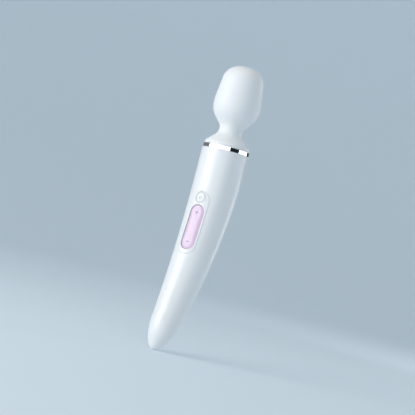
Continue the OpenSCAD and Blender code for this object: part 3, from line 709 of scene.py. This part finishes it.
def casing_rows():
    """(s, radius, normal along s, normal outwards) from the collar to the last row of the tip."""
    straight = 84
    dome = 16
    rows = []
    for i in range(straight + 1):
        s = -COLLAR + (DOME_START + COLLAR) * i / straight
        rows.append((s, taper_r(s)))
    for i in range(1, dome):
        turn = math.pi / 2 * i / dome
        s = DOME_START + TIP_LEN * math.sin(turn)
        rows.append((s, taper_r(s) * math.cos(turn)))
    ends = [(2 * rows[0][0] - rows[1][0], rows[0][1])] + rows + [(BEND_LEN, 0.0)]
    out = []
    for before, (s, radius), after in zip(ends, rows, ends[2:]):
        run = Vector((after[0] - before[0], after[1] - before[1])).normalized()
        out.append((s, radius, -run.y, run.x))
    return out


def laid_flat(points, mid):
    """(s, width) of points on a casing. The rear casing's angles run from pi/2 to 3 pi/2."""
    flat = []
    for point in points:
        s, _, phi = on_handle(point)
        flat.append((s, (phi if abs(mid) < 1 else phi % (2 * math.pi)) * FLAT_R))
    return flat


def patch_window(flat_hole, rows, turns):
    """First and last row and column of the grid's part that a patch round the hole replaces."""
    margin = 2.2 * MM
    low, high = extent(flat_hole)
    i0 = max(i for i, row in enumerate(rows) if row[0] < low[0] - margin)
    i1 = min(i for i, row in enumerate(rows) if row[0] > high[0] + margin)
    j0 = max(j for j, turn in enumerate(turns) if turn * FLAT_R < low[1] - margin)
    j1 = min(j for j, turn in enumerate(turns) if turn * FLAT_R > high[1] + margin)
    return i0, i1, j0, j1


def grid_points(rows, turns, window, flat_hole):
    """The outer points, the inner points and the number of each (row, column), without the
    points in the hole or close to it. The tip comes last."""
    clearance = 1.9 * MM
    i0, i1, j0, j1 = window
    outer = []
    inner = []
    number = {}
    for i, (s, radius, ns, nr) in enumerate(rows):
        for j, turn in enumerate(turns):
            flat = (s, turn * FLAT_R)
            if i0 < i < i1 and j0 < j < j1:
                if inside(flat, flat_hole) or distance_to(flat, flat_hole) < clearance:
                    continue
            number[i, j] = len(outer)
            outer.append(handle_point(s, radius, turn))
            inner.append(handle_point(s - SHELL_WALL * ns, radius - SHELL_WALL * nr, turn))
    outer.append(handle_point(BEND_LEN, 0, 0))
    inner.append(handle_point(BEND_LEN - SHELL_WALL, 0, 0))
    return outer, inner, number


def grid_faces(number, last, columns, window):
    """Quads of the grid outside the window, and triangles from its last row to the tip."""
    i0, i1, j0, j1 = window
    faces = []
    for i in range(last):
        for j in range(columns):
            if not (i0 <= i < i1 and j0 <= j < j1):
                faces.append((number[i, j], number[i, j + 1], number[i + 1, j + 1], number[i + 1, j]))
    tip = max(number.values()) + 1
    return faces + [(number[last, j], number[last, j + 1], tip) for j in range(columns)]


def hole_patch(rows, turns, window, number, flat_hole, hole_numbers):
    """Triangles between the window's rim and the hole."""
    i0, i1, j0, j1 = window
    rim = [(i0, j) for j in range(j0, j1)] + [(i, j1) for i in range(i0, i1)]
    rim += [(i1, j) for j in range(j1, j0, -1)] + [(i, j0) for i in range(i1, i0, -1)]
    free = [(i, j) for i in range(i0 + 1, i1) for j in range(j0 + 1, j1) if (i, j) in number]
    flat_of = lambda key: (rows[key[0]][0], turns[key[1]] * FLAT_R)
    numbers = [number[key] for key in rim] + hole_numbers + [number[key] for key in free]
    patch = fill([[flat_of(key) for key in rim], flat_hole], [flat_of(key) for key in free])
    return [tuple(numbers[i] for i in triangle) for triangle in patch]


def casing(mid, opening, mapping, profile):
    """Half of the hollow handle round direction mid. The mapping places the opening's outline on
    the handle, and the profile is that of the opening's edge."""
    rows = casing_rows()
    last = len(rows) - 1
    columns = 48
    seam = math.radians(0.1)
    low = mid - math.pi / 2 + seam
    turns = [low + (math.pi - 2 * seam) * j / columns for j in range(columns + 1)]
    hole = [mapping(x, v, profile[0][1]) for x, v in opening(-profile[0][0])]
    flat_hole = laid_flat(hole, mid)
    window = patch_window(flat_hole, rows, turns)
    outer, inner, number = grid_points(rows, turns, window, flat_hole)
    hole_numbers = list(range(len(outer), len(outer) + len(hole)))
    tip = hole_numbers[0] - 1
    outer += hole
    inner += [mapping(x, v, profile[-1][1]) for x, v in opening(-profile[-1][0])]
    faces = grid_faces(number, last, columns, window)
    faces += hole_patch(rows, turns, window, number, flat_hole, hole_numbers)

    count = len(outer)
    verts = outer + inner
    faces += [tuple(i + count for i in reversed(face)) for face in faces]
    rows_of_hole = [hole_numbers]
    for inset, height in profile[1:-1]:
        rows_of_hole.append(list(range(len(verts), len(verts) + len(hole))))
        verts += [mapping(x, v, height) for x, v in opening(-inset)]
    rows_of_hole.append([i + count for i in hole_numbers])
    faces += [quad for a, b in zip(rows_of_hole, rows_of_hole[1:]) for quad in strip(a, b)]
    edge = [number[0, j] for j in range(columns + 1)]
    edge += [number[i, columns] for i in range(1, last + 1)] + [tip]
    edge += [number[i, 0] for i in range(last, 0, -1)]
    faces += strip(edge, [i + count for i in edge])
    return verts, faces


def make_casings():
    lip = round_over(0.2 * MM, 0.0, 3) + [(0.0, -SHELL_WALL)]
    window = stadium(BEZEL, grow=0.08 * MM)
    front = add_piece("front_casing", *casing(0.0, window, on_panel, lip), "shell", ["front_shell"])
    window = rounded_box(*PORT, PORT_CORNER)
    on_rear = lambda x, v, height: dropped(PORT_FRAME, x, v, height)
    rear = add_piece("rear_casing", *casing(math.pi, window, on_rear, lip), "shell", ["rear_shell"])
    for piece in (front, rear):
        soften_edges(piece, 0.12 * MM)
        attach(piece, "handle")


def make_trim_ring():
    gap = 0.04 * MM
    inner = HANDLE_R - RING_WALL
    low = RING_Z + gap
    high = SKIN_Z - gap
    edge = round_over(0.4 * MM, 0.0)
    profile = [(inner, low)] + [(HANDLE_R - inset, low - height) for inset, height in edge]
    profile += [(HANDLE_R - inset, high + height) for inset, height in edge[::-1]] + [(inner, high)]
    ring = add_piece("chrome_ring", *lathe(profile, steps=160), "chrome_trim", ["trim_ring"])
    even_normals(ring)
    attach(ring, "handle")


# ---- Silicone skin of the neck and head ----

def skin_corners():
    """(radius, height, rounding) of the corners of the skin's outside."""
    rows = [
        (HANDLE_R - 0.7 * MM, 0, 0),
        (HANDLE_R - 1.5 * MM, 4, 2.5),
        (NECK_R, 15.6, 8),
        (NECK_R, 23.9, 8),
        (HEAD_R, 39.6, 24),
        (HEAD_R, 54.4, 60),
        (HEAD_R - 5 * MM, 93.6, 19.4),
        (0, 96.3, 60),
    ]
    return [(radius, SKIN_Z + height * MM, rounding * MM) for radius, height, rounding in rows]


def inset_corners(corners, t):
    """The corners moved inwards by t, with their rounding changed to match."""
    out = []
    for i, (radius, height, rounding) in enumerate(corners):
        here = Vector((radius, height))
        after = Vector(corners[i + 1][:2]) if i + 1 < len(corners) else None
        before = Vector(corners[i - 1][:2]) if i else None
        d1 = (here - before).normalized() if before else (after - here).normalized()
        d2 = (after - here).normalized() if after else Vector((d1.x, -d1.y))
        n1 = Vector((-d1.y, d1.x))
        n2 = Vector((-d2.y, d2.x))
        moved = here + t * (n1 + n2) / (1 + n1.dot(n2))
        left_turn = d1.x * d2.y - d1.y * d2.x > 0
        changed = rounding - t if left_turn else rounding + t
        out.append((moved.x, moved.y, changed if rounding else 0))
    return out


def corner_arc(a, b, c, radius, step):
    """Points of the arc that rounds corner b between a and c."""
    d1 = (a - b).normalized()
    d2 = (c - b).normalized()
    half = math.acos(max(-1, min(1, d1.dot(d2)))) / 2
    centre = b + (d1 + d2).normalized() * radius / math.sin(half)
    arm = b + d1 * radius / math.tan(half) - centre
    sweep = math.pi - 2 * half
    turn = -1 if d1.x * d2.y - d1.y * d2.x > 0 else 1
    n = max(3, math.ceil(sweep * radius / step))
    points = []
    for k in range(n + 1):
        g = turn * sweep * k / n
        points.append((centre.x + arm.x * math.cos(g) - arm.y * math.sin(g),
                       centre.y + arm.x * math.sin(g) + arm.y * math.cos(g)))
    return points


def rounded_path(corners, step=0.9 * MM):
    """The outline from the foot up to the axis."""
    flat = [Vector(c[:2]) for c in corners]
    path = [tuple(flat[0])]
    for i in range(1, len(corners) - 1):
        path += corner_arc(flat[i - 1], flat[i], flat[i + 1], corners[i][2], step)
    last = corner_arc(flat[-2], flat[-1], Vector((-flat[-2].x, flat[-2].y)), corners[-1][2], step)
    path += [(max(x, 0.0), z) for x, z in last if x > -SAME]
    path[-1] = (0.0, path[-1][1])
    return filled_path(dedupe(path), step)


def filled_path(path, step):
    """The path with its long straight runs divided."""
    out = [path[0]]
    for a, b in zip(path, path[1:]):
        n = max(1, round(math.dist(a, b) / step))
        out += [(a[0] + (b[0] - a[0]) * k / n, a[1] + (b[1] - a[1]) * k / n) for k in range(1, n + 1)]
    return out


def part_of(path, low, high):
    """The stretch of a path between two heights, cut level at both."""
    def cut(z):
        for a, b in zip(path, path[1:]):
            if a[1] <= z <= b[1] and b[1] > a[1]:
                return (a[0] + (b[0] - a[0]) * (z - a[1]) / (b[1] - a[1]), z)
        return path[-1] if z >= path[-1][1] else path[0]
    near = 0.1 * MM
    kept = [p for p in path if low + near < p[1] < high - near]
    return [cut(low)] + kept + ([cut(high)] if high < path[-1][1] else [path[-1]])


def make_skin():
    outside = rounded_path(skin_corners())
    lining = rounded_path(inset_corners(skin_corners(), SKIN - LINING_GAP))
    top = outside[-1][1] + MM
    foot = part_of(outside, SKIN_Z + 0.35 * MM, NECK_MID_Z)
    lip = [(foot[0][0] - 0.3 * MM, SKIN_Z + 0.05 * MM), (foot[0][0] - 0.1 * MM, SKIN_Z + 0.13 * MM)]
    lower_profile = lip + foot + part_of(lining, SKIN_Z + 0.05 * MM, NECK_MID_Z)[::-1]
    upper_profile = part_of(outside, NECK_MID_Z, top) + part_of(lining, NECK_MID_Z, top)[::-1]
    lower = add_piece("neck_sleeve", *lathe(lower_profile), "silicone", ["neck_boot"])
    upper = add_piece("head_skin", *lathe(upper_profile), "silicone", ["head_cover", "neck_boot"])
    blend_halves(lower, upper)
    for piece in (lower, upper):
        sharpen_cut(piece)


def sharpen_cut(piece):
    """The cut between the two skins is flat, and its rim doesn't bend the shading beside it."""
    mesh = piece.data
    level = {v.index for v in mesh.vertices if abs(v.co.z - NECK_MID_Z) < SAME}
    for edge in mesh.edges:
        edge.use_edge_sharp = edge.vertices[0] in level and edge.vertices[1] in level


# ---- Control panel ----

def make_bezel():
    """The raised frame, with a flange behind the casing and a wider bore behind the button."""
    flange = 2 * MM
    step = 1.5 * MM
    foot = (0.0, -6.6 * MM)
    side = [(0.0, -2.45 * MM), (-flange, -2.55 * MM), (-flange, -3.7 * MM), (0.0, -3.8 * MM)]
    bore = [(0.0, -3.5 * MM), (-step, -3.5 * MM), (-step, foot[1])]
    outer = (stadium(BEZEL), round_over(0.5 * MM, BEZEL_RISE) + side + [foot])
    window = (stadium(ROCKER, ROCKER_V, ROCKER_GAP), round_over(0.75 * MM, BEZEL_RISE, 6) + [foot])
    well = (circle(BUTTON_D + 2 * BUTTON_GAP, BUTTON_V), round_over(0.5 * MM, BEZEL_RISE, 5) + bore)
    solid = panel_solid(on_panel, [outer, window, well])
    bezel = add_piece("panel_frame", *solid, "shell", ["panel_bezel"])
    even_normals(bezel)
    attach(bezel, "handle")


def rocker_dish(x, v):
    """A finger hollow at each end of the rocker, and sides that fall away to its edge."""
    half = ROCKER[1] / 2
    edge = 3.4 * MM
    edge_drop = 0.9 * MM
    hollow = (5.2 * MM, 5.6 * MM)
    hollow_depth = 0.5 * MM
    along = max(0.0, abs(v - ROCKER_V) - (ROCKER[0] / 2 - half))
    sag = edge_drop * max(0.0, 1 - (half - math.hypot(x, along)) / edge) ** 2
    for side in (-1, 1):
        away = (x / hollow[0]) ** 2 + ((v - ROCKER_V - side * FINGER_V) / hollow[1]) ** 2
        sag += hollow_depth * math.exp(-away)
    return -sag


def make_sign(name, outlines, top, slot, ink):
    """Raised ink on a key whose top face stands at top(x, v)."""
    thickness = 0.03 * MM
    profile = round_over(thickness, thickness, 2) + [(0.0, -0.2 * MM)]
    on_key = lambda x, v, height: on_panel(x, v, top(x, v) + height)
    parts = [panel_solid(on_key, [(outline, profile)], spacing=0.5 * MM) for outline in outlines]
    sign = add_piece(name, *merged(parts), slot)
    sign.data.materials[0] = MATERIALS[ink]
    even_normals(sign)
    return sign


def make_rocker():
    profile = round_over(0.6 * MM, -ROCKER_SINK, 5) + [(0.0, -ROCKER_DEPTH)]
    solid = panel_solid(on_panel, [(stadium(ROCKER, ROCKER_V), profile)], rocker_dish, 0.8 * MM)
    key = add_piece("rocker_key", *solid, "rocker", ["intensity_rocker"])
    even_normals(key)
    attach(key, "rocker")
    top = lambda x, v: -ROCKER_SINK + rocker_dish(x, v)
    plus_mark = plus(SIGN_LEN / 2, SIGN_STROKE / 2, ROCKER_V + FINGER_V)
    minus_mark = rounded_box(SIGN_STROKE, SIGN_LEN, 0.44 * MM, ROCKER_V - FINGER_V, 4, 1 * MM)
    for name, outline in (("plus_sign", plus_mark), ("minus_sign", minus_mark)):
        sign = make_sign(name, [outline], top, "rocker", "lilac_ink")
        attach(sign, "rocker")


def button_dish(x, v):
    """A shallow hollow for the finger, inside a rim that slopes down to the button's edge."""
    hollow_r = 3.5 * MM
    hollow_depth = 0.12 * MM
    rim_drop = 0.95 * MM
    away = math.hypot(x, v - BUTTON_V)
    if away < hollow_r:
        return -hollow_depth * (1 - (away / hollow_r) ** 2)
    return -rim_drop * ((away - hollow_r) / (BUTTON_D / 2 - hollow_r)) ** 1.5


def make_power_button():
    profile = round_over(0.4 * MM, BUTTON_RISE, 4) + [(0.0, -2.9 * MM)]
    solid = panel_solid(on_panel, [(circle(BUTTON_D, BUTTON_V), profile)], button_dish, 0.6 * MM)
    key = add_piece("power_key", *solid, "shell", ["power_button"])
    even_normals(key)
    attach(key, "power_button")
    stroke = 0.55 * MM
    ring = open_ring(1.7 * MM, stroke, BUTTON_V - 0.2 * MM, math.radians(34))
    bar = rounded_box(2.0 * MM, stroke, 0.26 * MM, BUTTON_V + 1.1 * MM, 4, 0.5 * MM)
    top = lambda x, v: BUTTON_RISE + button_dish(x, v)
    sign = make_sign("power_sign", [ring, bar], top, "shell", "grey_ink")
    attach(sign, "power_button")


# ---- Charging contacts ----

def make_charge_contacts():
    """The flat charging face with a hole for each contact, and two stepped contacts in them."""
    pin_holes = [(circle(PIN_D + 0.1 * MM, side * PIN_V, 10),
                  round_over(0.2 * MM, 0.0, 3) + [(0.0, -PORT_SEAT)]) for side in (-1, 1)]
    body = (rounded_box(PORT[0] - 0.2 * MM, PORT[1] - 0.2 * MM, PORT_CORNER),
            round_over(0.3 * MM, 0.0) + [(0.0, -PORT_SEAT)])
    solid = panel_solid(on_port, [body] + pin_holes)
    plate = add_piece("charge_face", *solid, "shell", ["charge_plate"])
    even_normals(plate)
    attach(plate, "handle")
    pin_profile = [(0.0, -0.1), (0.7, -0.12), (1.2, -0.2), (1.42, -0.32), (1.48, -0.5), (1.48, -1.9),
                   (2.0, -1.95), (2.0, -3.3), (0.0, -3.4)]
    profile = [(radius * MM, height * MM) for radius, height in pin_profile]
    turn = Matrix(PORT_FRAME[1:]).transposed().to_4x4()
    parts = []
    for side in (-1, 1):
        place = Matrix.Translation(on_port(0, side * PIN_V, 0)) @ turn
        parts.append(lathe(profile, closed=False, steps=40, place=place))
    pins = add_piece("charge_contacts", *merged(parts), "contact_gold", ["charge_pins"])
    even_normals(pins)
    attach(pins, "handle")


# ---- Neck spring and motor leads, each in two halves that meet at the middle of the neck ----

def blend_halves(low_piece, high_piece):
    """Bakes the placement of both halves into their meshes."""
    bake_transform(low_piece)
    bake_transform(high_piece)


def make_spring():
    mean_r = 9.4 * MM
    wire = 1.6 * MM
    turns = 5
    steps_a_turn = 36
    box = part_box("neck_spring")
    low = box[0].z + wire / 2
    high = box[1].z - wire / 2

    def coil(z0, z1):
        steps = max(2, int(steps_a_turn * turns * (z1 - z0) / (high - low)))
        path = []
        for i in range(steps + 1):
            z = z0 + (z1 - z0) * i / steps
            turn = 2 * math.pi * turns * (z - low) / (high - low)
            path.append(Vector((mean_r * math.cos(turn), AXIS_Y + mean_r * math.sin(turn), z)))
        return tube(path, wire / 2)

    lower = add_piece("spring_lower", *coil(low, NECK_MID_Z), "spring_steel", ["neck_spring"])
    upper = add_piece("spring_upper", *coil(NECK_MID_Z, high), "spring_steel", ["neck_spring"])
    blend_halves(lower, upper)


def smooth_path(points, step):
    """A Catmull-Rom curve through the points."""
    ends = [2 * points[0] - points[1]] + points + [2 * points[-1] - points[-2]]
    out = [points[0]]
    for a, b, c, d in zip(ends, ends[1:], ends[2:], ends[3:]):
        n = max(2, round((c - b).length / step))
        for k in range(1, n + 1):
            t = k / n
            out.append(0.5 * (2 * b + (c - a) * t + (2 * a - 5 * b + 4 * c - d) * t * t
                              + (3 * b - a - 3 * c + d) * t ** 3))
    return out


def make_motor_leads():
    """Two leads from the board up through the neck socket, straight inside the spring."""
    radius = 0.6 * MM
    sides = 10
    straight_steps = 10
    off_axis = 5.3 * MM
    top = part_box("motor_leads")[1].z - radius
    socket_foot = BEND_Z - 7 * MM
    lower = []
    upper = []
    for side in (-1, 1):
        x = side * off_axis
        y = AXIS_Y + off_axis
        route = [
            Vector((side * 3 * MM, AXIS_Y - 9 * MM, socket_foot - 30 * MM)),
            Vector((side * 3 * MM, AXIS_Y - 7 * MM, socket_foot - 14 * MM)),
            Vector((x, y, socket_foot)),
            Vector((x, y, socket_foot + 12 * MM)),
            Vector((x, y, NECK_MID_Z)),
        ]
        lower.append(tube(smooth_path(route, 1.5 * MM), radius, sides))
        rise = (top - NECK_MID_Z) / straight_steps
        straight = [Vector((x, y, NECK_MID_Z + rise * k)) for k in range(straight_steps + 1)]
        upper.append(tube(straight, radius, sides))
    low_piece = add_piece("leads_lower", *merged(lower), "wire", ["motor_leads"])
    high_piece = add_piece("leads_upper", *merged(upper), "wire", ["motor_leads"])
    blend_halves(low_piece, high_piece)


# ---- Studio ----

def stage_material(name, color, glow):
    """Matte paper. The backdrop's is lit a little from within, to stay even behind the object."""
    f = Finish(name, color, 0.9, Emission_Color=(*color, 1.0), Emission_Strength=glow)
    f.tint(f.noise(0.4, detail=2), -0.01, 0.01)
    return f.material


def make_floor():
    """A pale floor that curves up into a wall all round, with no visible corner."""
    flat_r = 1.6
    curve = 1.4
    wall_top = 3.4
    steps = 24
    below_object = 0.02 * MM
    profile = [(radius, 0.0) for radius in (0.0, 0.1, 0.3, 0.7, flat_r)]
    for i in range(1, steps + 1):
        turn = math.pi / 2 * i / steps
        profile.append((flat_r + curve * math.sin(turn), curve - curve * math.cos(turn)))
    profile.append((flat_r + curve, wall_top))
    place = Matrix.Translation((0, 0, -below_object))
    verts, faces = lathe(profile, closed=False, steps=128, place=place)
    mesh = new_mesh("studio_floor", verts, faces)
    mesh.shade_smooth()
    mesh.materials.append(stage_material("studio_paper", (0.555, 0.635, 0.695), 0.30))
    floor = new_object("studio_floor", mesh)


def direction(azimuth, elevation):
    """Out from the object at these degrees. Azimuth 0 is its front and 90 is towards +X."""
    turn = math.radians(azimuth)
    rise = math.radians(elevation)
    return Vector((math.sin(turn) * math.cos(rise), -math.cos(turn) * math.cos(rise), math.sin(rise)))


def make_camera():
    """The photograph's camera."""
    back = direction(CAMERA_AZIMUTH, CAMERA_ELEVATION)
    right = direction(CAMERA_AZIMUTH + 90, 0)
    aim = Vector((0, AXIS_Y, AIM_HEIGHT)) + right * AIM_SIDE
    data = bpy.data.cameras.new("camera")
    data.lens = CAMERA_LENS
    data.sensor_width = SENSOR
    data.clip_start = 0.05
    data.clip_end = 50
    camera = new_object("camera", data)
    turn = Matrix((right, back.cross(right), back)).transposed().to_4x4()
    roll = Matrix.Rotation(math.radians(CAMERA_ROLL), 4, "Z")
    distance = VIEW_WIDTH * CAMERA_LENS / SENSOR
    camera.matrix_world = Matrix.Translation(aim + back * distance) @ turn @ roll
    bpy.context.scene.camera = camera


def studio_place(azimuth, elevation, distance):
    """Stands at an azimuth from the photograph's camera (right is positive) and faces the object."""
    out = direction(CAMERA_AZIMUTH + azimuth, elevation)
    aim = Vector((0, 0, STUDIO_AIM_Z))
    return Matrix.Translation(aim + out * distance) @ out.to_track_quat("Z", "Y").to_matrix().to_4x4()


def seen_in_ring(distance):
    """The elevation at which the photograph's camera sees a thing in the chrome ring. The camera
    looks up at the ring at 4.4 degrees, so what the ring shows stands that far above it."""
    rise = math.radians(4.4)
    return math.degrees(math.asin((RING_Z - STUDIO_AIM_Z) / distance + math.sin(rise)))


def softbox(name, azimuth, elevation, distance, size, radiance, color=(1.0, 1.0, 1.0)):
    """A rectangular light of this radiance that the camera doesn't see."""
    data = bpy.data.lights.new(name, "AREA")
    data.shape = "RECTANGLE"
    data.size, data.size_y = size
    data.energy = 4 * radiance * size[0] * size[1]
    data.color = color
    light = new_object(name, data)
    light.matrix_world = studio_place(azimuth, elevation, distance)
    light.visible_camera = False


def ring_card(name, azimuth, distance, size, color):
    """A card round the object, which the chrome ring reflects. The camera doesn't see it."""
    width, height = size
    signs = ((-1, -1), (1, -1), (1, 1), (-1, 1))
    corners = [(x * width / 2, y * height / 2, 0) for x, y in signs]
    mesh = new_mesh(name, corners, [(0, 1, 2, 3)])
    mesh.materials.append(stage_material(name, color, 0.0))
    card = new_object(name, mesh)
    card.matrix_world = studio_place(azimuth, seen_in_ring(distance), distance)
    card.visible_camera = False


def make_lights():
    """A broad key from the left, light from above and behind, and what the chrome ring shows."""
    softbox("key", -60, 18, 1.6, (1.2, 1.1), 2.45, (1.0, 0.965, 0.92))
    softbox("strip_left", -64, seen_in_ring(1.1), 1.1, (1.55, 0.14), 1.3)
    softbox("top", -10, 80, 1.5, (1.6, 1.6), 0.42)
    softbox("rim", 128, 12, 1.4, (0.45, 1.2), 1.5)
    softbox("strip_front", -6, seen_in_ring(1.6), 1.6, (1.5, 0.14), 1.3)
    softbox("strip_side", 97, seen_in_ring(1.3), 1.3, (1.9, 0.14), 1.2)
    ring_card("dark_card_front", 43, 0.75, (0.64, 0.12), (0.002, 0.002, 0.003))
    ring_card("dark_card_rear", 140, 0.9, (0.55, 0.12), (0.03, 0.03, 0.035))
    ring_card("brown_card", -121, 0.9, (1.0, 0.12), (0.30, 0.27, 0.25))
    world = bpy.data.worlds.new("studio")
    world.use_nodes = True
    sky = world.node_tree.nodes["Background"]
    sky.inputs["Color"].default_value = (0.92, 0.95, 0.97, 1.0)
    sky.inputs["Strength"].default_value = 0.2
    bpy.context.scene.world = world
    bpy.context.scene.view_settings.view_transform = "Standard"


dress_cad_nodes()
make_casings()
make_trim_ring()
make_skin()
make_bezel()
make_rocker()
make_power_button()
make_charge_contacts()
make_spring()
make_motor_leads()
make_floor()
make_camera()
make_lights()
